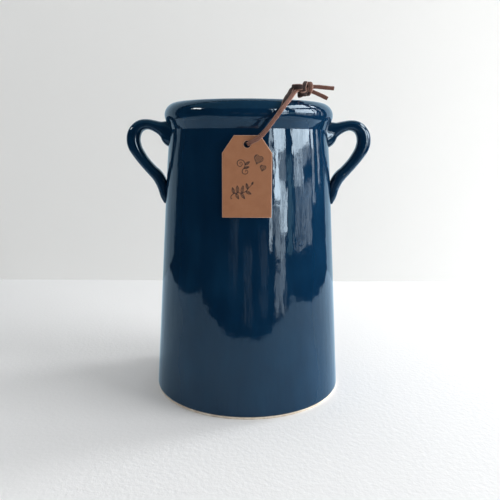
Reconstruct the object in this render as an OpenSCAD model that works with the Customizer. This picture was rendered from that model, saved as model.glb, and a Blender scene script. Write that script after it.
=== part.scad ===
// Tall churn-shaped vase with a rolled rim and two strap handles,
// and a leather gift tag hung over the rim on a knotted lace.
// Millimetres. Origin at the centre of the foot, +Z up, the tag on the -Y side.

/* [Vase] */
// Height of the rim's crest above the table
vase_h = 250; // [240:1:262]
// Radius of the wall at the table
base_r = 82.5; // [82:0.1:84]
// How much the wall's radius shrinks per millimetre of height
taper = 0.062; // [0.058:0.001:0.064]
// Height at which the wall starts to turn in towards the neck
shoulder_z = 185; // [150:1:195]
// Extra inward turn of the wall at the neck
shoulder_drop = 0.9; // [0:0.1:1.2]
// Thickness of the wall
wall_t = 6; // [4:0.5:8]
// Height of the inside floor above the table
floor_top = 11; // [9:1:16]
// Thickness of the floor
floor_t = 6; // [4:0.5:7]
// Height of the bare clay foot
foot_h = 2; // [1:0.5:3]
// How far the bare foot stands back from the glazed wall
foot_inset = 1; // [0.5:0.1:2]

/* [Rim] */
// Height of the rim's rolled collar
rim_h = 22; // [20:1:26]
// Radius of the roll on its outer side
roll_r = 10.2; // [9.5:0.1:10.4]
// How far the roll stands out past the neck
roll_out = 4.2; // [4:0.1:5]
// Radius of the rounding on the inner side of the crest
inner_round = 4.6; // [3:0.1:4.6]
// Radius of the mouth's straight throat
throat_r = 55.5; // [50:0.5:55.5]
// Length of the mouth's straight throat
throat_len = 8; // [5:0.5:9]

/* [Handles] */
// Half the width of the strap, measured along the wall
strap_half_w = 7.5; // [6:0.5:9]
// Depth that the handle's luted ends sink into the wall
lute_depth = 2; // [1:0.5:3]

/* [Tag] */
// Width of the leather tag
tag_w = 37.2; // [32:0.2:42]
// Height of the leather tag
tag_h = 61; // [56:0.5:64]
// Thickness of the leather
tag_t = 2; // [1.6:0.1:2.2]
// Width of each cut top corner
cut_w = 8.8; // [6:0.2:12]
// Height of each cut top corner
cut_h = 12.9; // [10:0.1:16]
// Radius of the punched hole
hole_r = 2.6; // [2.5:0.1:3]
// Distance of the hole's centre below the top edge
hole_drop = 6.6; // [6:0.2:9]

/* [Lace] */
// Diameter of the suede lace
lace_d = 3; // [2.6:0.1:3.2]
// Diameter of the tied knot
knot_d = 12.6; // [11:0.2:14]
// Length of the tied knot
knot_len = 17; // [16:0.5:19]

/* [Hidden] */

$fn = 96;
GLAZE = [0.05, 0.13, 0.24];
BARE_CLAY = [0.86, 0.80, 0.72];
TAN_LEATHER = [0.62, 0.38, 0.24];
SUEDE = [0.36, 0.20, 0.16];

// Wall: its radius at a height, and the heights where its outline has a point
WALL_STEPS = 16;
neck_z = vase_h - rim_h;
glaze_edge = 1.5;
function wall_r(z) = base_r - taper * z
    - shoulder_drop * pow(max(0, (z - shoulder_z) / (neck_z - shoulder_z)), 2);
function steps(from, to, count) = [for (i = [0:count]) from + (to - from) * i / count];
floor_r = wall_r(floor_top) - wall_t;

// Rim: the roll's centre, from its crest height and the wall it stands on
neck_r = wall_r(neck_z);
roll_c = [neck_r + roll_out - roll_r, vase_h - roll_r];
ROLL_START = -35;
ARC_STEP = 7.5;
function arc(centre, radius, from, to) =
    let (count = ceil(abs(to - from) / ARC_STEP))
    [for (a = steps(from, to, count)) centre + radius * [cos(a), sin(a)]];

// Handles: centre line in the XZ plane as [distance past the neck, height above the neck],
// with half the strap's thickness and its width factor at each point
HANDLE_LINE = [
    [-1, -5.5, 9, 1.25],
    [4.5, -2, 6.8, 1.2],
    [9.5, 1.3, 4.9, 1.05],
    [14.5, 3.5, 4.4, 0.95],
    [19.5, 4.5, 4.4, 0.95],
    [24.5, 3.8, 4.8, 0.95],
    [28.5, 1.3, 5.2, 0.95],
    [31.5, -3.5, 5.7, 0.95],
    [32.3, -9, 5.8, 0.95],
    [31.4, -14, 5.7, 0.95],
    [29, -19, 5.2, 0.95],
    [23.5, -27, 4.7, 0.95],
    [17.2, -34.2, 4.7, 1],
    [13.6, -37.8, 5, 1.05],
    [10.5, -42, 5, 1.05],
    [7.5, -49, 4.7, 1],
    [6.4, -57, 3.4, 0.9],
    [5, -63, 1.8, 0.6],
];
HANDLE_SIDES = 20;
HANDLE_FINE = 3;

// Tag: centre of its punched hole, and how far its foot leans out from the vertical
HOLE = [-0.8, -73.7, 216.1];
LEAN = 0.7;

// Lace: hand-laid route of each stretch
LOOP_ROUTE = [
    [22.4, -74.6, 238.6],
    [18.9, -75.9, 234.1],
    [16.1, -76.6, 230.3],
    [13.2, -77, 226.3],
    [10.7, -77.2, 223.4],
    [7.9, -77.3, 220.6],
    [4.6, -77.3, 218.8],
    [2.5, -77.1, 217.8],
    [0.7, -76.6, 216.9],
    [-0.2, -75.3, 216.4],
    [-0.2, -73.7, 216.4],
    [-0.2, -72.1, 216.4],
    [0.7, -70.8, 216.9],
    [2.5, -70.5, 217.8],
    [4.6, -70.4, 219],
    [7.6, -70.2, 221.4],
    [11.2, -70.3, 224.8],
    [14.7, -70.8, 228.6],
    [17.6, -71.5, 232.4],
    [20.3, -71.4, 236],
    [22.6, -70.6, 239.4],
];
OVER_FRONT_ROUTE = [
    [22.9, -74.7, 239.3],
    [24.5, -74, 241.4],
    [27.2, -71.1, 245.1],
    [30.3, -66.3, 248.9],
    [33.3, -60.5, 253],
    [35.4, -56.6, 255.6],
    [37.2, -53.8, 257],
];
OVER_REAR_ROUTE = [
    [23.1, -70.2, 240.2],
    [25.4, -68.7, 243.5],
    [26.5, -66.2, 247.3],
    [28.2, -62.4, 250.5],
    [30.6, -58, 253.7],
    [32.1, -54.9, 256.6],
    [34, -53, 258.4],
];
TAIL_UPPER_ROUTE = [
    [49.4, -50.6, 259.8],
    [53.4, -50, 259.7],
    [59, -49, 259.3],
    [65.7, -47.5, 258.9],
];
TAIL_LOWER_ROUTE = [
    [49.2, -50.2, 256.1],
    [52.8, -49.6, 254.7],
    [56.8, -48.8, 253.1],
    [60.9, -47.8, 251.3],
];
LACE_SIDES = 8;
LACE_ACROSS = [0.7, 0, -0.7];
TAIL_ACROSS = [0, 1, 0];
KNOT_C = [42, -50.8, 258.4];
KNOT_RISE = 4;
KNOT_TURN = 6;
KNOT_WAIST = 0.72;

// A closed skin through rings that all have the same count of points, with flat ends
module skin(rings) {
    count = len(rings[0]);
    last = len(rings) - 1;
    sides = [for (k = [0:last - 1], j = [0:count - 1])
        let (n = (j + 1) % count)
        [k * count + j, k * count + n, (k + 1) * count + n, (k + 1) * count + j]];
    start_cap = [for (j = [count - 1:-1:0]) j];
    end_cap = [for (j = [0:count - 1]) last * count + j];
    polyhedron([for (ring = rings) each ring], concat([start_cap], sides, [end_cap]), convexity = 6);
}

function unit(v) = v / norm(v);
function tangent(line, k) =
    unit(line[min(k + 1, len(line) - 1)] - line[max(k - 1, 0)]);

// Round tube along a route; across is a direction that no stretch of the route follows
module tube(route, across) {
    skin([for (k = [0:len(route) - 1])
        let (t = tangent(route, k), u = unit(cross(t, across)), v = cross(t, u))
        [for (j = [0:LACE_SIDES - 1])
            let (a = 360 * j / LACE_SIDES)
            route[k] + lace_d / 2 * (u * cos(a) + v * sin(a))]]);
}

// Point on the smooth curve through rows k and k + 1 of a list, at s from 0 to 1
function smooth(rows, k, s) =
    let (a = rows[max(k - 1, 0)], b = rows[k], c = rows[k + 1], d = rows[min(k + 2, len(rows) - 1)])
    0.5 * (2 * b + (c - a) * s + (2 * a - 5 * b + 4 * c - d) * s * s
        + (3 * b - a - 3 * c + d) * s * s * s);

module body_wall() {
    outer = [for (z = steps(foot_h + glaze_edge, neck_z, WALL_STEPS)) [wall_r(z), z]];
    inner = [for (z = steps(neck_z, floor_top, WALL_STEPS)) [wall_r(z) - wall_t, z]];
    color(GLAZE)
    rotate_extrude()
    polygon(concat([[base_r - foot_inset, foot_h]], outer, inner, [[floor_r, foot_h]]));
}

module floor_disc() {
    color(GLAZE)
    translate([0, 0, floor_top - floor_t])
    cylinder(r = floor_r, h = floor_t);
}

module foot_ring() {
    edge = foot_h / 2;
    color(BARE_CLAY)
    rotate_extrude()
    polygon([
        [floor_r, 0],
        [base_r - foot_inset - edge, 0],
        [base_r - foot_inset, edge],
        [base_r - foot_inset, foot_h],
        [floor_r, foot_h],
    ]);
}

module rim_collar() {
    throat_top = vase_h - inner_round;
    crest_arc = arc([throat_r + inner_round, throat_top], inner_round, 90, 180);
    color(GLAZE)
    rotate_extrude()
    polygon(concat(
        [[neck_r, neck_z]],
        arc(roll_c, roll_r, ROLL_START, 90),
        crest_arc,
        [[throat_r, throat_top - throat_len], [neck_r - wall_t, neck_z]]
    ));
}

// Strap handle on the +X side, its ends sunk into the wall
module handle() {
    rows = [for (k = [0:len(HANDLE_LINE) - 2], i = [0:HANDLE_FINE - 1])
        smooth(HANDLE_LINE, k, i / HANDLE_FINE)];
    all_rows = concat(rows, [HANDLE_LINE[len(HANDLE_LINE) - 1]]);
    line = [for (k = [0:len(all_rows) - 1])
        [neck_r + all_rows[k][0] - lute_depth * max(0, 1 - k / HANDLE_FINE), 0, neck_z + all_rows[k][1]]];
    color(GLAZE)
    skin([for (k = [0:len(line) - 1])
        let (t = tangent(line, k), out = cross(t, [0, 1, 0]),
             half_t = all_rows[k][2], half_w = strap_half_w * all_rows[k][3])
        [for (j = [0:HANDLE_SIDES - 1])
            let (a = 360 * j / HANDLE_SIDES)
            line[k] + out * half_t * cos(a) + [0, half_w * sin(a), 0]]]);
}

module handle_right() {
    handle();
}

module handle_left() {
    mirror([1, 0, 0])
    handle();
}

// Leather tag, drawn flat around its hole and then stood up against the wall
module leather_tag() {
    side = tag_w / 2;
    top = hole_drop;
    foot = hole_drop - tag_h;
    color(TAN_LEATHER)
    translate(HOLE)
    rotate([90 - LEAN, 0, 0])
    linear_extrude(tag_t, center = true)
    difference() {
        polygon([
            [-side, foot],
            [side, foot],
            [side, top - cut_h],
            [side - cut_w, top],
            [cut_w - side, top],
            [-side, top - cut_h],
        ]);
        circle(r = hole_r);
    }
}

module lace_loop() {
    color(SUEDE)
    tube(LOOP_ROUTE, LACE_ACROSS);
}

module lace_over_rim_front() {
    color(SUEDE)
    tube(OVER_FRONT_ROUTE, LACE_ACROSS);
}

module lace_over_rim_rear() {
    color(SUEDE)
    tube(OVER_REAR_ROUTE, LACE_ACROSS);
}

// Barrel of the overhand knot, lying along the tails
module lace_knot() {
    waist = knot_d / 2 * KNOT_WAIST;
    color(SUEDE)
    translate(KNOT_C)
    rotate([0, -KNOT_RISE, KNOT_TURN])
    rotate([0, 90, 0])
    rotate_extrude()
    polygon([
        [0, -knot_len / 2],
        [waist, -knot_len / 2],
        [knot_d / 2, -knot_len / 4],
        [knot_d / 2, knot_len / 4],
        [waist, knot_len / 2],
        [0, knot_len / 2],
    ]);
}

module lace_tail_upper() {
    color(SUEDE)
    tube(TAIL_UPPER_ROUTE, TAIL_ACROSS);
}

module lace_tail_lower() {
    color(SUEDE)
    tube(TAIL_LOWER_ROUTE, TAIL_ACROSS);
}

body_wall();
floor_disc();
foot_ring();
rim_collar();
handle_left();
handle_right();
leather_tag();
lace_loop();
lace_over_rim_front();
lace_over_rim_rear();
lace_knot();
lace_tail_upper();
lace_tail_lower();
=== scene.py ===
import math

import bpy
import numpy as np
from mathutils import Matrix, Vector


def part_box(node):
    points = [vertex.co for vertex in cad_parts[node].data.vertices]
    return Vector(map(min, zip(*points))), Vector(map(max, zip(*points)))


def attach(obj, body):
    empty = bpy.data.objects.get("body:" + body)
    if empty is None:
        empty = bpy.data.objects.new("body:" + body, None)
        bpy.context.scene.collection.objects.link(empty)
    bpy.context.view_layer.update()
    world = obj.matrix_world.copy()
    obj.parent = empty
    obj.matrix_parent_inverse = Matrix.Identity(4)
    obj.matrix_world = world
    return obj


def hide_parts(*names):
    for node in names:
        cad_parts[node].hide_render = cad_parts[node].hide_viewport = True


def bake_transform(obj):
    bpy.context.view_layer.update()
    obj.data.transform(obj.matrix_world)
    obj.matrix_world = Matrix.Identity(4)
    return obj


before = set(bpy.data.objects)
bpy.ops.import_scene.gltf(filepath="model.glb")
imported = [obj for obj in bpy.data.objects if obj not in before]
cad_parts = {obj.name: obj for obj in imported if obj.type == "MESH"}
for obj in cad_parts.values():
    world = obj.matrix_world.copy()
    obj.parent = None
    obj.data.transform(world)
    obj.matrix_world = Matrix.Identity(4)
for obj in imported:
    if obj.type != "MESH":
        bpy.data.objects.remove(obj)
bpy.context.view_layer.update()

MM = 0.001
NO_LENGTH = 1e-12
ON_AXIS = 1e-7


# ---------------------------------------------------------------- camera

CAMERA_PLACE = Vector((1.8, -494.2, 216.5)) * MM
CAMERA_LENS = 40.22
CAMERA_PITCH_DOWN = math.radians(10.76)
CAMERA_ROLL = math.radians(0.35)


def make_camera():
    data = bpy.data.cameras.new("camera")
    data.lens = CAMERA_LENS
    data.sensor_width = 36
    data.clip_start = 0.01
    data.clip_end = 30
    camera = bpy.data.objects.new("camera", data)
    bpy.context.scene.collection.objects.link(camera)
    tilt = Matrix.Rotation(math.pi / 2 - CAMERA_PITCH_DOWN, 4, "X")
    roll = Matrix.Rotation(CAMERA_ROLL, 4, "Z")
    camera.matrix_world = Matrix.Translation(CAMERA_PLACE) @ tilt @ roll
    bpy.context.scene.camera = camera
    bpy.context.scene.view_settings.view_transform = "Standard"


make_camera()


# ---------------------------------------------------------------- mesh helpers


def catmull(rows, per_span):
    """Points on a smooth curve through rows, per_span to each gap, with the last row at the end."""
    rows = np.array(rows, float)
    before = np.vstack([2 * rows[0] - rows[1], rows, 2 * rows[-1] - rows[-2]])
    out = []
    for k in range(len(rows) - 1):
        a, b, c, d = before[k:k + 4]
        for s in np.arange(per_span) / per_span:
            out.append(0.5 * (2 * b + (c - a) * s + (2 * a - 5 * b + 4 * c - d) * s**2
                              + (3 * b - a - 3 * c + d) * s**3))
    out.append(rows[-1])
    return np.array(out)


def distances(line):
    """How far along the line each of its points is."""
    return np.concatenate([[0], np.cumsum(np.linalg.norm(np.diff(line, axis=0), axis=1))])


def evenly(line, step):
    """The same line with points an equal distance apart, lightly smoothed."""
    far = distances(line)
    marks = np.linspace(0, far[-1], int(round(far[-1] / step)) + 1)
    line = np.column_stack([np.interp(marks, far, line[:, axis]) for axis in range(3)])
    for _ in range(2):
        line[1:-1] = (line[:-2] + 2 * line[1:-1] + line[2:]) / 4
    return line


def unit(v):
    v = np.asarray(v, float)
    return v / np.maximum(np.linalg.norm(v, axis=-1, keepdims=True), NO_LENGTH)


def tangents(line):
    return unit(np.gradient(line, axis=0))


def arc(centre, radius, start, end, count):
    """Points on an arc in the (r, z) plane, angles in degrees."""
    turn = np.radians(np.linspace(start, end, count))
    return [(centre[0] + radius * math.cos(a), centre[1] + radius * math.sin(a)) for a in turn]


def link_mesh(name, points, faces, material, smooth_below=40, uvs=None):
    """A mesh object from points and faces; edges sharper than smooth_below degrees stay sharp."""
    mesh = bpy.data.meshes.new(name)
    mesh.from_pydata([tuple(p) for p in points], [], faces)
    mesh.update()
    if uvs is not None:
        layer = mesh.uv_layers.new(name="UVMap")
        for polygon, corners in zip(mesh.polygons, uvs):
            for loop, uv in zip(polygon.loop_indices, corners):
                layer.data[loop].uv = uv
    for polygon in mesh.polygons:
        polygon.use_smooth = True
    mesh.set_sharp_from_angle(angle=math.radians(smooth_below))
    made = bpy.data.objects.new(name, mesh)
    bpy.context.scene.collection.objects.link(made)
    mesh.materials.append(material)
    return made


def skin(name, rings, material, smooth_below=40):
    """A closed skin through rings, each an (m, 3) array, with flat caps at both ends."""
    rings = np.asarray(rings)
    count, around = rings.shape[:2]
    faces, uvs = [], []
    for k in range(count - 1):
        for j in range(around):
            n = (j + 1) % around
            faces.append((k * around + j, k * around + n, (k + 1) * around + n, (k + 1) * around + j))
            u, w = k / (count - 1), (k + 1) / (count - 1)
            uvs.append(((u, j / around), (u, (j + 1) / around), (w, (j + 1) / around), (w, j / around)))
    faces.append(tuple(range(around - 1, -1, -1)))
    uvs.append([(0, 0)] * around)
    faces.append(tuple(range((count - 1) * around, count * around)))
    uvs.append([(1, 0)] * around)
    return link_mesh(name, rings.reshape(-1, 3), faces, material, smooth_below, uvs)


def lathe(name, profile, material, sides, unevenness=0.0):
    """Turns a closed (r, z) outline about Z. Points on the axis become single points."""
    points, columns = [], []
    turns = 2 * math.pi * np.arange(sides) / sides
    for r, z in profile:
        if r < ON_AXIS:
            columns.append([len(points)] * sides)
            points.append((0, 0, z))
            continue
        columns.append(list(range(len(points), len(points) + sides)))
        for a in turns:
            out = r + unevenness * hand_thrown(a, z)
            points.append((out * math.cos(a), out * math.sin(a), z))
    faces = []
    for k in range(len(columns)):
        a, b = columns[k], columns[(k + 1) % len(columns)]
        for j in range(sides):
            n = (j + 1) % sides
            corners = list(dict.fromkeys((a[j], a[n], b[n], b[j])))
            if len(corners) > 2:
                faces.append(tuple(corners))
    return link_mesh(name, points, faces, material)


def hand_thrown(turn, z):
    """Slow unevenness of a thrown and glazed wall, about -1 to 1."""
    return (0.40 * math.sin(2 * turn + 0.7 + 9 * z) + 0.25 * math.sin(3 * turn + 2.1 - 17 * z)
            + 0.20 * math.sin(9 * turn - 1.3 + 24 * z) + 0.15 * math.sin(5 * turn + 140 * z))


# ---------------------------------------------------------------- shader helpers


class Shader:
    """A node material under construction."""

    def __init__(self, name):
        self.material = bpy.data.materials.new(name)
        self.material.use_nodes = True
        self.nodes = self.material.node_tree.nodes
        self.links = self.material.node_tree.links
        self.nodes.clear()
        self.out = self.nodes.new("ShaderNodeOutputMaterial")

    def node(self, kind, settings=None, **inputs):
        made = self.nodes.new(kind)
        for key, value in (settings or {}).items():
            setattr(made, key, value)
        for key, value in inputs.items():
            self.feed(made, key.replace("_", " "), value)
        return made

    def feed(self, node, socket, value):
        """Sets a socket to a number, or links it from another node's socket."""
        target = node.inputs[int(socket) if socket.isdigit() else socket]
        if isinstance(value, bpy.types.NodeSocket):
            self.links.new(value, target)
        else:
            target.default_value = value

    def principled(self, **inputs):
        made = self.node("ShaderNodeBsdfPrincipled", **inputs)
        self.links.new(made.outputs[0], self.out.inputs["Surface"])
        return made

    def place(self, kind="Object", stretch=(1, 1, 1)):
        where = self.node("ShaderNodeTexCoord").outputs[kind]
        if stretch == (1, 1, 1):
            return where
        return self.node("ShaderNodeMapping", Vector=where, Scale=stretch).outputs[0]

    def noise(self, where, scale, detail=2.0, rough=0.5, warp=0.0):
        return self.node("ShaderNodeTexNoise", Vector=where, Scale=scale, Detail=detail,
                         Roughness=rough, Distortion=warp).outputs["Fac"]

    def ramp(self, value, *stops):
        """A colour ramp with (position, colour or grey) stops."""
        made = self.node("ShaderNodeValToRGB", Fac=value)
        marks = made.color_ramp.elements
        while len(marks) < len(stops):
            marks.new(0.5)
        for mark, (position, colour) in zip(marks, stops):
            mark.position = position
            grey = isinstance(colour, (int, float))
            mark.color = (colour, colour, colour, 1) if grey else (*colour, 1)
        return made.outputs["Color"]

    def mix(self, share, a, b):
        made = self.node("ShaderNodeMix", {"data_type": "RGBA"})
        self.feed(made, "0", share)
        for socket, value in ((6, a), (7, b)):
            target = made.inputs[socket]
            if isinstance(value, bpy.types.NodeSocket):
                self.links.new(value, target)
            else:
                target.default_value = (*value, 1)
        return made.outputs[2]

    def maths(self, operation, a, b=0.0):
        made = self.node("ShaderNodeMath", {"operation": operation})
        self.feed(made, "0", a)
        self.feed(made, "1", b)
        return made.outputs[0]

    def bump(self, height, distance, strength=1.0, normal=None):
        made = self.node("ShaderNodeBump", Height=height, Distance=distance, Strength=strength)
        if normal is not None:
            self.links.new(normal, made.inputs["Normal"])
        return made.outputs[0]


def glaze_material():
    """Deep navy gloss glaze: pooled and thin patches, a slow ripple and a fine orange peel."""
    pooled, even, thin = (0.0012, 0.0122, 0.034), (0.0021, 0.0178, 0.046), (0.0042, 0.0280, 0.067)
    speck = (0.010, 0.040, 0.085)
    ripple_depth, drip_depth, peel_depth = 0.00032, 0.00012, 0.000012
    s = Shader("navy_glaze")
    where = s.place()
    runs = s.noise(s.place(stretch=(1, 1, 0.25)), 55, 3, 0.55)
    pools = s.noise(where, 18, 2, 0.5)
    tone = s.maths("ADD", s.maths("MULTIPLY", runs, 0.45), s.maths("MULTIPLY", pools, 0.55))
    colour = s.ramp(tone, (0.30, pooled), (0.52, even), (0.74, thin))
    specks = s.ramp(s.noise(where, 900, 1, 0.4), (0.72, 0.0), (0.80, 1.0))
    colour = s.mix(s.maths("MULTIPLY", specks, 0.25), colour, speck)
    rough = s.ramp(s.noise(where, 70, 3, 0.6), (0.3, 0.035), (0.7, 0.075))
    ripple = s.bump(s.noise(s.place(stretch=(1, 1, 0.7)), 42, 3, 0.5), ripple_depth)
    drips = s.bump(s.noise(s.place(stretch=(1, 1, 0.10)), 240, 2, 0.5), drip_depth, normal=ripple)
    peel = s.bump(s.noise(where, 420, 2, 0.5), peel_depth, normal=drips)
    s.principled(Base_Color=colour, Roughness=rough, IOR=1.5, Normal=peel,
                 Specular_Tint=(0.82, 0.93, 1.0, 1))
    return s.material


def clay_material():
    """Bare fired clay: pale cream, speckled and matt."""
    dark, middle, light = (0.55, 0.44, 0.34), (0.74, 0.65, 0.54), (0.82, 0.75, 0.66)
    grain = (0.32, 0.22, 0.15)
    s = Shader("bare_clay")
    where = s.place()
    colour = s.ramp(s.noise(where, 260, 4, 0.6), (0.3, dark), (0.6, middle), (0.8, light))
    grains = s.ramp(s.noise(where, 1500, 2, 0.6), (0.66, 0.0), (0.74, 1.0))
    colour = s.mix(s.maths("MULTIPLY", grains, 0.5), colour, grain)
    relief = s.bump(s.noise(where, 900, 4, 0.65), 0.00012)
    s.principled(Base_Color=colour, Roughness=0.88, Normal=relief)
    return s.material


def leather_material():
    """Smooth veg-tanned leather: mottled tan, fine pores and a faint hide crease pattern."""
    dark, middle, light = (0.282, 0.108, 0.042), (0.305, 0.120, 0.048), (0.332, 0.134, 0.056)
    pore = (0.16, 0.06, 0.028)
    s = Shader("tan_leather")
    where = s.place()
    mottle = s.noise(where, 130, 5, 0.62)
    colour = s.ramp(mottle, (0.28, dark), (0.5, middle), (0.75, light))
    pores = s.node("ShaderNodeTexVoronoi", {"feature": "F1"}, Vector=where, Scale=1900.0)
    pits = s.ramp(pores.outputs["Distance"], (0.05, 0.0), (0.35, 1.0))
    colour = s.mix(s.maths("MULTIPLY", s.maths("SUBTRACT", 1.0, pits), 0.25), colour, pore)
    rough = s.ramp(s.noise(where, 300, 3, 0.6), (0.3, 0.52), (0.7, 0.70))
    creases = s.bump(s.noise(where, 650, 4, 0.6, 0.4), 0.00006)
    relief = s.bump(pits, 0.00003, normal=creases)
    s.principled(Base_Color=colour, Roughness=rough, Normal=relief, Specular_IOR_Level=0.35)
    return s.material


def leather_edge_material():
    """Cut leather edge: paler, raw and fibrous."""
    s = Shader("leather_cut_edge")
    fibres = s.noise(s.place(stretch=(1, 3, 1)), 1300, 4, 0.7)
    colour = s.ramp(fibres, (0.3, (0.42, 0.23, 0.15)), (0.7, (0.66, 0.43, 0.31)))
    s.principled(Base_Color=colour, Roughness=0.85, Normal=s.bump(fibres, 0.00010))
    return s.material


def burnt_material():
    """Burnt line on leather."""
    s = Shader("burnt_line")
    char = s.noise(s.place(), 1800, 3, 0.6)
    colour = s.ramp(char, (0.3, (0.022, 0.009, 0.005)), (0.7, (0.055, 0.022, 0.011)))
    s.principled(Base_Color=colour, Roughness=0.9, Normal=s.bump(char, 0.00004))
    return s.material


def suede_material(name="brown_suede", dark=(0.070, 0.028, 0.020), middle=(0.165, 0.075, 0.054),
                   light=(0.32, 0.165, 0.120)):
    """Suede face: red-brown nap, brushed light and dark, with a soft sheen."""
    s = Shader(name)
    where = s.place("UV", (40, 6, 1))
    nap = s.noise(where, 6, 5, 0.65)
    fibres = s.noise(s.place(), 2600, 3, 0.7)
    tone = s.maths("ADD", s.maths("MULTIPLY", nap, 0.6), s.maths("MULTIPLY", fibres, 0.4))
    colour = s.ramp(tone, (0.32, dark), (0.52, middle), (0.72, light))
    s.principled(Base_Color=colour, Roughness=0.92, Normal=s.bump(tone, 0.00022),
                 Sheen_Weight=0.2, Sheen_Roughness=0.5, Sheen_Tint=(0.8, 0.6, 0.52, 1),
                 Specular_IOR_Level=0.2)
    return s.material


def suede_edge_material():
    """Cut edge of the suede lace: paler fibres."""
    s = Shader("suede_cut_edge")
    fibres = s.noise(s.place(), 2400, 4, 0.7)
    colour = s.ramp(fibres, (0.3, (0.20, 0.10, 0.075)), (0.7, (0.40, 0.24, 0.185)))
    s.principled(Base_Color=colour, Roughness=0.95, Normal=s.bump(fibres, 0.0002))
    return s.material


GLAZE = glaze_material()
CLAY = clay_material()
LEATHER = leather_material()
LEATHER_EDGE = leather_edge_material()
BURNT = burnt_material()
SUEDE = suede_material()
# A darker copy of the suede: painted shade, used on the knot and on the lace's stretch behind the tag
SHADED_SUEDE = suede_material("brown_suede_painted_shade", (0.014, 0.008, 0.008), (0.034, 0.020, 0.018),
                            (0.078, 0.047, 0.040))
TAIL_SUEDE = suede_material("brown_suede_tail", (0.055, 0.022, 0.016), (0.125, 0.055, 0.041),
                            (0.20, 0.10, 0.078))
SUEDE_EDGE = suede_edge_material()


# ---------------------------------------------------------------- lace

LACE_WIDTH = 3.0 * MM
LACE_THICK = 1.6 * MM
LACE_CORNER = 0.4 * MM
LACE_STEP = 0.7
ROUTE_FINE = 6
UNEVEN_CUT = 0.04
CORNER_POINTS = 4
# An outline edge whose middle is past this share of the half width is one of the lace's narrow sides
NARROW_FROM = 0.81
# Material slots of a lace piece: its face, its cut sides, and a second face colour: painted shade on the
# lace, painted light on the knot
FACE_SLOT = 0
CUT_SLOT = 1
PAINTED_SHADE_OR_LIGHT_SLOT = 2
KNOT_AT = np.array((42, -50.8, 258.4))

# The lace's routes, as in the CAD model: over the rim, round through the tag's hole, and back up
OVER_FRONT = [
    (37.2, -53.8, 257), (35.4, -56.6, 255.6), (33.3, -60.5, 253), (30.3, -66.3, 248.9),
    (27.2, -71.1, 245.1), (24.5, -74, 241.4), (22.9, -74.7, 239.3),
]
LOOP = [
    (22.4, -74.6, 238.6), (18.9, -75.9, 234.1), (16.1, -76.6, 230.3), (13.2, -77, 226.3),
    (10.7, -77.2, 223.4), (7.9, -77.3, 220.6), (4.6, -77.3, 218.8), (2.5, -77.1, 217.8),
    (0.7, -76.6, 216.9), (-0.2, -75.3, 216.4), (-0.2, -73.7, 216.4), (-0.2, -72.1, 216.4),
    (0.7, -70.8, 216.9), (2.5, -70.5, 217.8), (4.6, -70.4, 219), (7.6, -70.2, 221.4),
    (11.2, -70.3, 224.8), (14.7, -70.8, 228.6), (17.6, -71.5, 232.4), (20.3, -71.4, 236),
    (22.6, -70.6, 239.4),
]
OVER_REAR = [
    (23.1, -70.2, 240.2), (25.4, -68.7, 243.5), (26.5, -66.2, 247.3), (28.2, -62.4, 250.5),
    (30.6, -58, 253.7), (32.1, -54.9, 256.6), (34, -53, 258.4),
]
TAIL_UPPER = [(46.5, -51.2, 259.6), (49.4, -50.6, 259.8), (53.4, -50, 259.7), (59, -49, 259.3),
              (65.7, -47.5, 258.9)]
TAIL_LOWER = [(46.5, -50.9, 257.2), (49.2, -50.2, 256.1), (52.8, -49.6, 254.7), (56.8, -48.8, 253.1),
              (60.9, -47.8, 251.3)]

# The route's point in the middle of the tag's hole, and how far each side of it the lace turns over
IN_HOLE = np.array((-0.2, -73.7, 216.4))
HOLE_TURN = 7

# Near the middle of the rim's roll, from which the lace over it faces outward
ROLL_MID_Z = 240
ROLL_MID_R = 60
LEAST_RUN = 4.0


def section(width, thick, corner):
    """Outline of the flat lace as (across, out) pairs, with rounded corners."""
    half_w, half_t = width / 2 - corner, thick / 2 - corner
    points = []
    for sign_w, sign_t, start in ((1, 1, 0), (-1, 1, 90), (-1, -1, 180), (1, -1, 270)):
        for a in np.radians(np.linspace(start, start + 90, CORNER_POINTS)):
            points.append((sign_w * half_w + corner * math.cos(a), sign_t * half_t + corner * math.sin(a)))
    return np.array(points)


def ribbon(name, line, across, width=LACE_WIDTH, thick=LACE_THICK, face=SUEDE, swell=1.0,
           corner=LACE_CORNER):
    """Flat lace along a line; across is the direction of its width at each point."""
    way = tangents(line)
    across = unit(across - way * np.sum(across * way, axis=1, keepdims=True))
    out = np.cross(across, way)
    outline = section(width, thick, corner)
    far = distances(line) / MM
    wide = swell * (1 + UNEVEN_CUT * np.sin(0.83 * far + 0.6) * np.sin(0.31 * far))
    deep = swell * (1 + UNEVEN_CUT * np.sin(1.21 * far + 2.0))
    rings = []
    for k in range(len(line)):
        sideways = np.outer(outline[:, 0] * wide[k], across[k])
        rings.append(line[k] + sideways + np.outer(outline[:, 1] * deep[k], out[k]))
    made = skin(name, rings, face, 60)
    made.data.materials.append(SUEDE_EDGE)
    around = len(outline)
    spans = len(line) - 1
    edge_middles = np.abs(outline[:, 0] + np.roll(outline[:, 0], -1)) / 2
    narrow = set(np.flatnonzero(edge_middles > NARROW_FROM * width / 2))
    for k, polygon in enumerate(made.data.polygons):
        if k >= spans * around or k % around in narrow:
            polygon.material_index = CUT_SLOT
    return made


def rim_side_normal(p):
    """Outward direction from the vase at a point beside the wall or over the rolled rim, in millimetres."""
    radius = np.hypot(p[0], p[1])
    outward = np.array((p[0], p[1], 0)) / radius
    rise = max(0.0, p[2] - ROLL_MID_Z)
    run = max(LEAST_RUN, radius - ROLL_MID_R)
    return unit(outward * run + np.array((0, 0, 1)) * rise)


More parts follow.
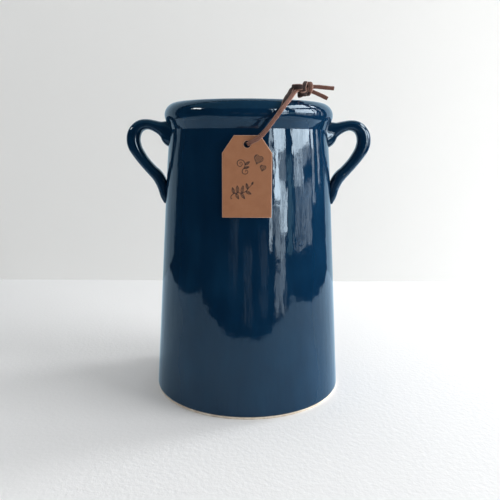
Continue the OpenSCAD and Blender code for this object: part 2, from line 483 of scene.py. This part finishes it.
def lace_strand():
    """The whole free lace: down the front, through the tag's hole and back up, with painted shade on its face
    behind the tag.
    """
    line = evenly(catmull(OVER_FRONT + LOOP + OVER_REAR, ROUTE_FINE), LACE_STEP)
    way = tangents(line)
    side = np.array([np.cross(t, rim_side_normal(p)) for t, p in zip(way, line)])
    hole = int(np.argmin(np.linalg.norm(line - IN_HOLE, axis=1)))
    far = distances(line)
    through = np.abs(far - far[hole]) < HOLE_TURN
    side[hole + 1:] *= -1
    first, last = np.flatnonzero(through)[[0, -1]]
    for k in range(first, last + 1):
        share = (far[k] - far[first]) / (far[last] - far[first])
        side[k] = (1 - share) * side[first] + share * side[last]
    line = line * MM
    made = ribbon("lace_strand", line, side)
    made.data.materials.append(SHADED_SUEDE)
    around = len(section(LACE_WIDTH, LACE_THICK, LACE_CORNER))
    # Faces past the hole take the shaded suede: painted shade
    for k, polygon in enumerate(made.data.polygons):
        if hole < k // around < len(line) - 1 and polygon.material_index == FACE_SLOT:
            polygon.material_index = PAINTED_SHADE_OR_LIGHT_SLOT
    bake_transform(made)
    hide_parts("lace_loop", "lace_over_rim_front", "lace_over_rim_rear")
    return made, line


# The overhand knot's two strands, in millimetres about the knot's centre. The first goes in along the core,
# once round as an upright ring, back along the rear, round the left-hand lobe and out to the right
KNOT_FIRST = [
    (-4.8, -3.0, -1.4), (-2.8, -1.8, -1.0), (-0.8, 0.6, -0.8), (0.6, 2.8, 0.2), (1.3, 3.2, 2.4),
    (1.6, 0.4, 4.2), (0.8, -3.3, 3.2), (-0.2, -4.9, 0.2), (0.3, -3.8, -3.4), (0.8, 0.4, -4.7),
    (0.2, 3.6, -2.8), (-1.6, 4.8, -0.6), (-3.6, 4.5, 0.5), (-5.8, 3.0, 0.8), (-7.5, 0.0, 0.7),
    (-6.4, -3.6, 0.5), (-3.6, -5.4, 0.5), (-1.0, -4.6, 0.5), (1.6, -2.6, 0.9), (4.5, -0.8, 1.2),
]
# The second goes in along the core, once round to the right of that ring, back under the lobe and out
KNOT_SECOND = [
    (-8.0, -2.2, 0.0), (-5.2, -0.8, -0.4), (-1.8, 0.8, -1.0), (1.4, 2.2, -0.6), (3.6, 2.9, 0.6),
    (4.2, 3.0, 2.4), (4.3, 0.4, 3.9), (5.0, -2.9, 2.9), (5.1, -4.5, -0.2), (4.1, -3.5, -3.2),
    (3.2, 0.4, -4.5), (2.6, 4.0, -3.2), (0.8, 5.0, -3.6), (-1.6, 3.6, -4.3), (-2.9, 0.4, -4.5),
    (-2.2, -3.2, -4.5), (-0.4, -4.6, -4.3), (1.4, -4.0, -3.3), (2.9, -2.5, -2.0), (4.5, -0.7, -1.2),
]
KNOT_WIDTH = 3.5 * MM
KNOT_THICK = 2.3 * MM
KNOT_CORNER = 0.9 * MM
KNOT_FINE = 7
# Right of this the second strand's face is painted in the lighter suede, as painted light
RING_LIT_FROM = 4.4
# The lobe is left of here and the rings are right of it, with a blend between them
RING_STARTS = -1.3
RING_BLEND = 2.0
# The lobe is swollen, growing over its first points
LOBE_SWELL = 0.35
LOBE_GROWS = 14
# In the lobe the outward direction keeps only this share of its height, so the strand stands on edge
LOBE_HEIGHT = 0.05
# How strongly the width turns to face the core, and how far off the core that takes full hold
GRIP = 0.8
GRIP_FROM = 4.0


def knot_strand(name, rows, lit_from=math.inf):
    """One strand of the knot: the lobe's stretches stand on edge, the rings lie flat round the core."""
    line = catmull(np.array(rows) + KNOT_AT, KNOT_FINE)
    way = tangents(line)
    from_core = line - KNOT_AT
    side = np.zeros_like(line)
    swell = np.ones(len(line))
    for k, (x, y, z) in enumerate(from_core):
        ring = min(1.0, max(0.0, (x - RING_STARTS) / RING_BLEND + 0.5))
        radial = np.array(((1 - ring) * x, y, (LOBE_HEIGHT + (1 - LOBE_HEIGHT) * ring) * z))
        swell[k] = 1 + LOBE_SWELL * (1 - ring) * min(1.0, k / LOBE_GROWS)
        side[k] = np.cross(way[k], unit(radial))
        if k == 0:
            continue
        if np.dot(side[k], side[k - 1]) < 0:
            side[k] *= -1
        grip = GRIP * min(1.0, np.linalg.norm((y, z)) / GRIP_FROM)
        side[k] = unit(grip * unit(side[k]) + (1 - grip) * unit(side[k - 1]))
    made = ribbon(name, line * MM, side, KNOT_WIDTH, KNOT_THICK, SHADED_SUEDE, swell, KNOT_CORNER)
    # The knot is the shaded suede, painted shade; faces right of lit_from take the lighter suede as painted
    # light
    made.data.materials.append(SUEDE)
    for polygon in made.data.polygons:
        if polygon.material_index == FACE_SLOT and polygon.center.x > (KNOT_AT[0] + lit_from) * MM:
            polygon.material_index = PAINTED_SHADE_OR_LIGHT_SLOT
    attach(made, "lace_top")
    return made


def lace_tail(name, rows, node, across):
    """A short cut tail that leaves the knot."""
    line = catmull(rows, ROUTE_FINE)
    side = np.tile(np.array(across, float), (len(line), 1))
    made = ribbon(name, line * MM, side, face=TAIL_SUEDE)
    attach(made, "lace_top")
    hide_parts(node)
    return made


strand, strand_line = lace_strand()
knot_first = knot_strand("lace_knot_first", KNOT_FIRST)
knot_second = knot_strand("lace_knot_second", KNOT_SECOND, RING_LIT_FROM)
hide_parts("lace_knot")
tail_upper = lace_tail("lace_tail_upper_end", TAIL_UPPER, "lace_tail_upper", (0.05, -0.25, 1))
tail_lower = lace_tail("lace_tail_lower_end", TAIL_LOWER, "lace_tail_lower", (0.4, -0.25, 1))


# ---------------------------------------------------------------- vase

wall_low, wall_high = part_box("body_wall")
FOOT_TOP = wall_low.z
NECK_Z = wall_high.z
RIM_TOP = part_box("rim_collar")[1].z
BASE_R = 82.5 * MM
TAPER = 0.062
SHOULDER_Z = 185 * MM
SHOULDER_DROP = 0.9 * MM
WALL_T = 6 * MM
FLOOR_TOP = 11 * MM
FLOOR_T = 6 * MM
FOOT_INSET = 1 * MM
FOOT_R = BASE_R - FOOT_INSET
GLAZE_EDGE = 1.5 * MM
ROLL_R = 10.2 * MM
INNER_ROUND = 4.6 * MM
THROAT_R = 55.5 * MM
THROAT_LEN = 8 * MM
ROLL_OUT = 4.2 * MM
SIDES = 288
FLOOR_SIDES = 144
WALL_STEPS = 110
INSIDE_STEPS = 60
EDGE_TUCK = 0.4 * MM
FLOOR_DISH = 0.4 * MM
WORN_OUTER = 0.9 * MM
WORN_INNER = 0.7 * MM


def wall_r(z):
    turn_in = max(0.0, (z - SHOULDER_Z) / (NECK_Z - SHOULDER_Z))
    return BASE_R - TAPER * z - SHOULDER_DROP * turn_in**2


NECK_R = wall_r(NECK_Z)
FLOOR_R = wall_r(FLOOR_TOP) - WALL_T
UNEVEN = 0.09 * MM


def vase_piece(made, node):
    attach(made, "vase")
    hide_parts(node)


def make_wall():
    """The tall wall, rounded over at the glaze's lower edge."""
    edge = arc((wall_r(FOOT_TOP + GLAZE_EDGE) - GLAZE_EDGE, FOOT_TOP + GLAZE_EDGE), GLAZE_EDGE, -90, 0, 7)
    edge = [(max(r, FOOT_R - EDGE_TUCK), z) for r, z in edge]
    outer = [(wall_r(z), z) for z in np.linspace(FOOT_TOP + GLAZE_EDGE, NECK_Z, WALL_STEPS)[1:]]
    inner = [(wall_r(z) - WALL_T, z) for z in np.linspace(NECK_Z, FLOOR_TOP, INSIDE_STEPS)]
    profile = edge + outer + inner + [(FLOOR_R, FOOT_TOP)]
    vase_piece(lathe("vase_wall", profile, GLAZE, SIDES, UNEVEN), "body_wall")


def make_floor():
    """The floor disc, a little dished on top."""
    top, under = FLOOR_TOP, FLOOR_TOP - FLOOR_T
    dish = [(r * FLOOR_R, top - FLOOR_DISH * (1 - r**2)) for r in np.linspace(0, 1, 14)]
    profile = dish + [(FLOOR_R, under), (0, under)]
    vase_piece(lathe("vase_floor", profile, GLAZE, FLOOR_SIDES), "floor_disc")


def make_foot():
    """The bare foot ring, with both lower edges worn round."""
    outer = arc((FOOT_R - WORN_OUTER, WORN_OUTER), WORN_OUTER, -90, 0, 6)
    inner = arc((FLOOR_R + WORN_INNER, WORN_INNER), WORN_INNER, 180, 270, 5)
    profile = inner + outer + [(FOOT_R, FOOT_TOP), (FLOOR_R, FOOT_TOP)]
    vase_piece(lathe("foot_bare_clay", profile, CLAY, SIDES, UNEVEN), "foot_ring")


def make_rim():
    """The rolled collar: sloping underside, full roll and rounded inner lip."""
    centre = (NECK_R + ROLL_OUT - ROLL_R, RIM_TOP - ROLL_R)
    throat_top = RIM_TOP - INNER_ROUND
    profile = [(NECK_R, NECK_Z)]
    profile += arc(centre, ROLL_R, -35, 90, 42)
    profile += arc((THROAT_R + INNER_ROUND, throat_top), INNER_ROUND, 90, 180, 18)
    profile += [(THROAT_R, throat_top - THROAT_LEN), (NECK_R - WALL_T, NECK_Z)]
    vase_piece(lathe("rim_rolled_collar", profile, GLAZE, SIDES, UNEVEN), "rim_collar")


# The handle's centre line, close to the CAD model's but fuller at the upper root. Each row is how far past
# the neck, how far above it and the half thickness, in millimetres, then a factor on the width
HANDLE_LINE = [
    (-1, -3.6, 10.8, 1.02), (4.3, -0.3, 8.3, 1), (9.5, 1.7, 5.6, 0.97), (14.5, 3.5, 4.6, 0.95),
    (19.5, 4.5, 4.4, 0.95), (24.5, 3.8, 4.8, 0.95), (28.5, 1.3, 5.2, 0.95), (31.5, -3.5, 5.7, 0.95),
    (32.3, -9, 5.8, 0.95), (31.4, -14, 5.7, 0.95), (29, -19, 5.2, 0.95), (23.5, -27, 4.7, 0.95),
    (17.2, -34.2, 4.7, 1), (13.6, -37.8, 5, 1.05), (10.5, -42, 5, 1.05), (7.5, -49, 4.7, 1),
    (6.4, -57, 3.4, 0.9), (5, -63, 1.8, 0.6),
]
HANDLE_ROOT = (-5.5, -5.4, 11, 1.05)
HANDLE_FINE = 9
STRAP_HALF_W = 7.5 * MM
FLARE_REACH = 6 * MM
FLARE_GAIN = 0.12
FLARE_BELOW_NECK = 20 * MM
STRAP_SQUARENESS = 0.8
STRAP_SIDES = 48


def squared(wave):
    """A sine or cosine pushed outward, so that a round section becomes a strap's."""
    return np.sign(wave) * np.abs(wave)**STRAP_SQUARENESS


def make_handle(name, node, side):
    """A pulled strap handle; its section swells like a fillet where the upper root meets the wall."""
    rows = catmull([HANDLE_ROOT] + HANDLE_LINE, HANDLE_FINE)
    line = np.column_stack([NECK_R + rows[:, 0] * MM, np.zeros(len(rows)), NECK_Z + rows[:, 1] * MM])
    way = tangents(line)
    out = np.cross(way, (0, 1, 0))
    turns = 2 * math.pi * np.arange(STRAP_SIDES) / STRAP_SIDES
    flat_cos, flat_sin = squared(np.cos(turns)), squared(np.sin(turns))
    rings = []
    for k in range(len(line)):
        half_t, half_w = rows[k, 2] * MM, STRAP_HALF_W * rows[k, 3]
        clear = line[k, 0] - wall_r(min(line[k, 2], NECK_Z))
        upper = line[k, 2] > NECK_Z - FLARE_BELOW_NECK
        flare = 1 + FLARE_GAIN * max(0.0, 1 - clear / FLARE_REACH)**2 * upper
        across = np.outer(half_w * flare * flat_sin, (0, 1, 0))
        rings.append(line[k] + np.outer(half_t * flat_cos, out[k]) + across)
    rings = np.array(rings)
    if side < 0:
        rings[:, :, 0] *= -1
        rings = rings[:, ::-1]
    vase_piece(skin(name, rings, GLAZE), node)


make_wall()
make_floor()
make_foot()
make_rim()
make_handle("handle_strap_left", "handle_left", -1)
make_handle("handle_strap_right", "handle_right", 1)


# ---------------------------------------------------------------- tag

# In millimetres, in the tag's own plane with the hole's centre at 0, 0
TAG_W = 37.2
TAG_H = 61
TAG_T = 2.0
CUT_W = 8.8
CUT_H = 12.9
HOLE_R = 2.6
HOLE_DROP = 6.6
HOLE_AT = Vector((-0.8, -73.7, 216.1)) * MM
HOLE_SIDES = 40
TAG_EDGE = 0.4
# Faces less square to the front than the first are cut edge, and less than the second are shaded smooth
FACE_FROM = 0.95
FLAT_FROM = 0.98
LEAN = math.radians(0.7)
TAG_FRAME = Matrix.Translation(HOLE_AT) @ Matrix.Rotation(math.pi / 2 - LEAN, 4, "X")


def make_tag():
    """The leather tag: an outline with a hole, extruded with softened edges."""
    half, top, foot = TAG_W / 2, HOLE_DROP, HOLE_DROP - TAG_H
    corners = [(-half, foot), (half, foot), (half, top - CUT_H), (half - CUT_W, top),
               (CUT_W - half, top), (-half, top - CUT_H)]
    curve = bpy.data.curves.new("tag_outline", "CURVE")
    curve.dimensions = "2D"
    curve.fill_mode = "BOTH"
    curve.extrude = (TAG_T / 2 - TAG_EDGE) * MM
    curve.bevel_depth = TAG_EDGE * MM
    curve.bevel_resolution = 3
    curve.offset = -TAG_EDGE * MM
    outline = curve.splines.new("POLY")
    outline.points.add(len(corners) - 1)
    for point, (x, y) in zip(outline.points, corners):
        point.co = (x * MM, y * MM, 0, 1)
    outline.use_cyclic_u = True
    hole = curve.splines.new("POLY")
    hole.points.add(HOLE_SIDES - 1)
    for k, point in enumerate(hole.points):
        a = -2 * math.pi * k / HOLE_SIDES
        point.co = (HOLE_R * MM * math.cos(a), HOLE_R * MM * math.sin(a), 0, 1)
    hole.use_cyclic_u = True
    maker = bpy.data.objects.new("tag_maker", curve)
    bpy.context.scene.collection.objects.link(maker)
    bpy.context.view_layer.update()
    depsgraph = bpy.context.evaluated_depsgraph_get()
    mesh = bpy.data.meshes.new_from_object(maker.evaluated_get(depsgraph))
    bpy.data.objects.remove(maker)
    mesh.transform(TAG_FRAME)
    made = bpy.data.objects.new("tag_leather", mesh)
    bpy.context.scene.collection.objects.link(made)
    mesh.materials.clear()
    mesh.materials.append(LEATHER)
    mesh.materials.append(LEATHER_EDGE)
    front = TAG_FRAME.to_3x3() @ Vector((0, 0, 1))
    for polygon in mesh.polygons:
        facing = abs(polygon.normal.dot(front))
        polygon.material_index = 1 if facing < FACE_FROM else 0
        polygon.use_smooth = facing < FLAT_FROM
    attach(made, "tag")
    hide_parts("leather_tag")


# Burnt ornament on the tag's face, in millimetres from the hole's centre: two hatched hearts, a scroll
# and a leafy sprig
STROKE_HALF = 0.36
STROKE_RISE = 0.05
STROKE_ENDS = 0.62
HATCH_SHORTEST = 1.2
HATCH_INSET = 0.35
HEART_TALL = 1.12
LEAF_POINTS = 9
RIB_POINTS = 7
HEARTS = [((8.4, -10.8), 6.6, -22), ((11.8, -17.1), 4.3, -14)]
SCROLL = [
    (-4.6, -14.6), (-5.4, -14.0), (-5.0, -13.0), (-3.9, -13.2), (-3.6, -14.9), (-5.0, -16.2),
    (-6.9, -15.2), (-7.2, -12.8), (-5.4, -11.4), (-3.0, -11.8), (-1.6, -14.0), (-1.8, -16.6),
    (-3.4, -19.0), (-3.2, -21.2),
    (-1.0, -21.8), (0.6, -20.6), (0.2, -19.0), (-1.0, -19.2), (-0.8, -20.2),
]
SPRIG_STEM = [
    (-11.0, -39.4), (-11.7, -40.3), (-12.0, -39.0), (-11.2, -37.4), (-9.4, -36.2), (-6.4, -35.7),
    (-3.6, -35.9), (-0.6, -34.4), (1.6, -31.8), (3.6, -29.6),
]
# Each leaf as its foot on the stem, its tip and its half width
SPRIG_LEAVES = [
    ((-9.6, -36.3), (-10.9, -31.8), 0.9), ((-6.9, -35.7), (-7.2, -30.4), 1.0),
    ((-3.8, -35.9), (-2.8, -30.4), 1.0), ((-8.2, -36.0), (-6.2, -40.4), 0.9),
    ((-4.6, -35.8), (-1.6, -40.2), 0.9), ((-0.9, -34.6), (3.2, -36.6), 0.9),
    ((0.6, -33.0), (-0.4, -28.6), 0.8), ((3.6, -29.6), (4.6, -27.6), 0.5),
]
SCROLL_LEAVES = [((-1.6, -15.0), (1.9, -12.6), 0.8), ((-2.4, -17.6), (1.6, -16.4), 0.7)]


def heart(centre, width, tilt):
    """Closed heart outline of a given width, turned by tilt degrees. The usual curve is 32 wide."""
    t = np.linspace(0, 2 * math.pi, 41)
    x = 16 * np.sin(t)**3
    y = 13 * np.cos(t) - 5 * np.cos(2 * t) - 2 * np.cos(3 * t) - np.cos(4 * t)
    flat = np.column_stack([x, HEART_TALL * y]) * width / 32
    turn = math.radians(tilt)
    spin = np.array(((math.cos(turn), math.sin(turn)), (-math.sin(turn), math.cos(turn))))
    return flat @ spin + centre


def hatching(outline, gap=1.15, angle=52):
    """Parallel strokes that fill a closed outline."""
    turn = math.radians(angle)
    along = np.array((math.cos(turn), math.sin(turn)))
    across = np.array((-along[1], along[0]))
    u, v = outline @ along, outline @ across
    strokes = []
    for level in np.arange(v.min() + gap, v.max() - 0.5 * gap, gap):
        cuts = [u[k] + (u[k + 1] - u[k]) * (level - v[k]) / (v[k + 1] - v[k])
                for k in range(len(u) - 1) if (v[k] - level) * (v[k + 1] - level) < 0]
        if len(cuts) > 1 and max(cuts) - min(cuts) > HATCH_SHORTEST:
            ends = (min(cuts) + HATCH_INSET, max(cuts) - HATCH_INSET)
            strokes.append(np.array([along * e + across * level for e in np.linspace(*ends, 5)]))
    return strokes


def leaf(foot, tip, half_width):
    """Closed outline of a pointed leaf, with its midrib as a second stroke."""
    foot, tip = np.array(foot), np.array(tip)
    across = np.array((foot[1] - tip[1], tip[0] - foot[0]))
    across = across / np.linalg.norm(across)
    share = np.linspace(0, 1, LEAF_POINTS)
    bulge = half_width * np.sin(math.pi * share**0.8)
    middle = foot + np.outer(share, tip - foot)
    there = middle + np.outer(bulge, across)
    back = middle - np.outer(bulge, across)
    return [np.vstack([there, back[::-1]]), middle[:RIB_POINTS]]


def make_marks():
    """All the burnt strokes as one low, rounded relief on the tag's face."""
    strokes = [catmull(SCROLL, 5), catmull(SPRIG_STEM, 5)]
    for foot, tip, half_width in SPRIG_LEAVES + SCROLL_LEAVES:
        strokes += leaf(foot, tip, half_width)
    for centre, width, tilt in HEARTS:
        outline = heart(centre, width, tilt)
        strokes += [outline] + hatching(outline)
    bed = TAG_T / 2 - STROKE_RISE
    lens = [(-1.0, -0.6), (-0.7, 0.7), (0.0, 1.0), (0.7, 0.7), (1.0, -0.6)]
    points, faces = [], []
    for stroke in strokes:
        way = tangents(stroke)
        across = np.column_stack([-way[:, 1], way[:, 0]])
        start = len(points)
        for k in range(len(stroke)):
            middling = math.sin(math.pi * (k + 0.5) / len(stroke))
            taper = STROKE_HALF * (STROKE_ENDS + (1 - STROKE_ENDS) * middling)
            for out, rise in lens:
                flat = stroke[k] + across[k] * taper * out
                points.append(TAG_FRAME @ (Vector((*flat, bed + STROKE_RISE * (1 + rise))) * MM))
        for k in range(len(stroke) - 1):
            a, b = start + k * len(lens), start + (k + 1) * len(lens)
            for j in range(len(lens)):
                n = (j + 1) % len(lens)
                faces.append((a + j, a + n, b + n, b + j))
        faces.append(tuple(range(start, start + len(lens))))
        last = start + (len(stroke) - 1) * len(lens)
        faces.append(tuple(range(last + len(lens) - 1, last - 1, -1)))
    made = link_mesh("tag_burnt_ornament", points, faces, BURNT)
    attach(made, "tag")


make_tag()
make_marks()


# ---------------------------------------------------------------- floor, backdrop and light

def pale_material(name, colour, rough, relief=0.0, scale=300.0):
    s = Shader(name)
    grain = s.noise(s.place(), scale, 3, 0.6)
    normal = s.bump(grain, relief)
    s.principled(Base_Color=(*colour, 1), Roughness=rough, Normal=normal, Specular_IOR_Level=0.2)
    return s.material


def plane(name, corners, material):
    made = link_mesh(name, corners, [(0, 1, 2, 3)], material)
    return made


def level(left, right, front, back, z):
    """Corners of a level rectangle."""
    return [(left, front, z), (right, front, z), (right, back, z), (left, back, z)]


def upright(left, right, y, low, high):
    """Corners of a rectangle that stands facing the camera."""
    return [(left, y, low), (right, y, low), (right, y, high), (left, y, high)]


def seen_only_in_glaze(made):
    """Hides a thing from everything but reflections."""
    made.visible_camera = False
    made.visible_diffuse = False
    made.visible_shadow = False


WALL_Y = 0.38
TABLE_Z = 0.2 * MM
STAGE_HALF = 4
floor = plane("stage_floor", level(-STAGE_HALF, STAGE_HALF, -STAGE_HALF, STAGE_HALF, 0),
              pale_material("pale_floor", (0.885, 0.885, 0.885), 0.9, 0.0002, 260))
floor.visible_glossy = False
floor.visible_shadow = False
# Seen only in the glaze and tinted blue: a painted reflection colour for the table
table = plane("stage_table_reflected", level(-0.60, 0.53, -0.37, WALL_Y, TABLE_Z),
              pale_material("pale_table", (0.60, 0.82, 1.0), 0.9))
seen_only_in_glaze(table)


def backdrop_material():
    """Pale wall seen from the front only: its back lets everything through."""
    s = Shader("pale_wall")
    diffuse = s.node("ShaderNodeBsdfDiffuse", Color=(0.86, 0.86, 0.845, 1)).outputs[0]
    clear = s.node("ShaderNodeBsdfTransparent").outputs[0]
    back = s.node("ShaderNodeNewGeometry").outputs["Backfacing"]
    mixed = s.node("ShaderNodeMixShader")
    s.feed(mixed, "0", back)
    s.feed(mixed, "1", diffuse)
    s.feed(mixed, "2", clear)
    s.links.new(mixed.outputs[0], s.out.inputs["Surface"])
    return s.material


wall = plane("stage_wall", upright(-STAGE_HALF, STAGE_HALF, WALL_Y, 0, 3), backdrop_material())
wall.visible_shadow = False
wall.visible_glossy = False
# Seen only in the glaze and tinted blue: a painted reflection colour for the wall
wall_reflected = plane("stage_wall_reflected", upright(-0.95, 0.56, WALL_Y, 0, 1.3),
                       pale_material("pale_wall_reflected", (0.50, 0.70, 0.84), 0.9))
seen_only_in_glaze(wall_reflected)


def glow_material(name, colour, strength, breakup=0.0):
    """Window light; breakup is how much of it is lost in dark streaks."""
    s = Shader(name)
    glow = s.node("ShaderNodeEmission", Color=(*colour, 1), Strength=strength)
    if breakup:
        streaks = s.noise(s.place("Object", (1, 1, 0.22)), 26, 4, 0.7, 0.3)
        shade = s.ramp(streaks, (0.42, 1.0 - breakup), (0.56, 1.0))
        s.feed(glow, "Strength", s.maths("MULTIPLY", shade, strength))
    s.links.new(glow.outputs[0], s.out.inputs["Surface"])
    return s.material


CARD_R = 1.25
CARD_Z = 0.2
SKY = (0.86, 0.94, 1.0)
LAMP = (1.0, 0.97, 0.92)


def window_card(name, az, el, strength, breakup=0.0, colour=SKY):
    """A glow seen only in the glaze, from az[0] to az[1] round the vase and el[0] to el[1] up, in degrees."""
    corners = []
    for a, e in ((az[0], el[0]), (az[1], el[0]), (az[1], el[1]), (az[0], el[1])):
        turn = math.radians(a)
        height = CARD_Z + CARD_R * math.tan(math.radians(e))
        corners.append((CARD_R * math.sin(turn), -CARD_R * math.cos(turn), height))
    glow = glow_material(name + "_glow", colour, strength, breakup)
    made = link_mesh("stage_" + name, corners, [(0, 1, 2, 3)], glow)
    seen_only_in_glaze(made)


# Each glow card: the windows' panes, and three dim room streaks that paint reflections of the room; azimuths,
# elevations, strength, how broken up it is and, for one, its colour
PANES = [
    ("window_slit", (28, 31), (-6, 26.5), 9.0, 0.3),
    ("window_first_left", (34, 41), (-0.5, 26.5), 19.0, 0.25),
    ("window_first_left_low", (34, 41), (-8, -0.5), 4.5, 0.8),
    ("window_first_right", (41, 50), (8.5, 26.5), 17.0, 0.3),
    ("window_first_right_sill", (41, 50), (2.2, 8.5), 4.0, 0.6),
    ("window_first_right_low", (41, 50), (-4.5, 2.2), 13.0, 0.6),
    ("window_first_right_foot", (42, 49), (-9, -4.5), 4.5, 0.8),
    ("window_first_streaks", (35, 49), (-15, -9), 3.2, 0.95),
    ("window_between", (52, 60), (-8, 7), 1.6, 0.5, (0.50, 0.86, 1.0)),
    ("window_second", (62, 93), (7, 26.5), 15.0, 0.35),
    ("window_second_middle", (62, 78), (1, 7), 9.0, 0.95),
    ("window_second_corner", (78, 93), (4, 7), 4.0, 0.9),
    ("window_second_low", (62, 93), (-4, 1), 2.8, 0.95),
    ("window_second_streaks", (63, 92), (-8, -4), 3.2, 0.95),
    ("room_streak_left", (-22, -13), (-12, -2), 0.35, 0.95),
    ("room_streak_middle", (-5, 5), (-16, -6), 0.45, 0.95),
    ("room_streak_right", (15, 24), (-15, -4), 0.5, 0.95),
    ("window_third", (96, 101), (6, 26.5), 9.5, 0.1),
    ("window_third_low", (96, 101), (-3, 6), 3.2, 0.4),
    ("window_far_slit", (110, 113), (-1, 26.5), 3.6, 0.3),
    ("window_top", (60, 116), (32, 50), 13.0, 0.2),
]
for pane in PANES:
    window_card(*pane)
CEILING_Z = 1.6
# A glowing sheet seen only in the glaze: a painted reflection of the ceiling
ceiling = plane("stage_ceiling", level(-2, 2, 0.4, -2.4, CEILING_Z),
                glow_material("ceiling_glow", (0.33, 0.76, 1.0), 0.45, 0.3))
seen_only_in_glaze(ceiling)
window_card("lamp_side", (-82, -66), (24.5, 30), 20.0, colour=LAMP)
window_card("lamp_back", (-122, -104), (60, 68), 12.0, colour=LAMP)


LIGHT_AIM = Vector((0, 0, 0.1))


def soft_light(name, place, size, power):
    """A broad lamp aimed at the vase that lights surfaces but isn't seen in the glaze."""
    data = bpy.data.lights.new(name, "AREA")
    data.shape = "RECTANGLE"
    data.size, data.size_y = size
    data.energy = power
    made = bpy.data.objects.new(name, data)
    bpy.context.scene.collection.objects.link(made)
    made.location = place
    made.rotation_euler = (LIGHT_AIM - Vector(place)).to_track_quat("-Z", "Y").to_euler()
    made.visible_camera = False
    made.visible_glossy = False


soft_light("light_window_side", (2.2, -0.7, 0.9), (1.6, 1.2), 45.0)
soft_light("light_window_low", (1.5, 0.62, 0.2), (0.4, 0.3), 34.0)


def make_world():
    """Pale to the camera, a dim room to reflections, and soft fill to everything else."""
    world = bpy.data.worlds.new("studio")
    bpy.context.scene.world = world
    world.use_nodes = True
    nodes, links = world.node_tree.nodes, world.node_tree.links
    nodes.clear()
    out = nodes.new("ShaderNodeOutputWorld")
    rays = nodes.new("ShaderNodeLightPath")

    def background(colour, strength):
        made = nodes.new("ShaderNodeBackground")
        made.inputs["Color"].default_value = (*colour, 1)
        made.inputs["Strength"].default_value = strength
        return made.outputs[0]

    def choose(share, a, b):
        made = nodes.new("ShaderNodeMixShader")
        links.new(share, made.inputs[0])
        links.new(a, made.inputs[1])
        links.new(b, made.inputs[2])
        return made.outputs[0]

    fill = background((0.97, 0.985, 1.0), 0.51)
    dim = background((0.6, 0.8, 1.0), 0.02)
    pale = background((1.0, 1.0, 0.99), 0.80)
    links.new(choose(rays.outputs["Is Camera Ray"], choose(rays.outputs["Is Glossy Ray"], fill, dim), pale),
              out.inputs[0])


make_world()
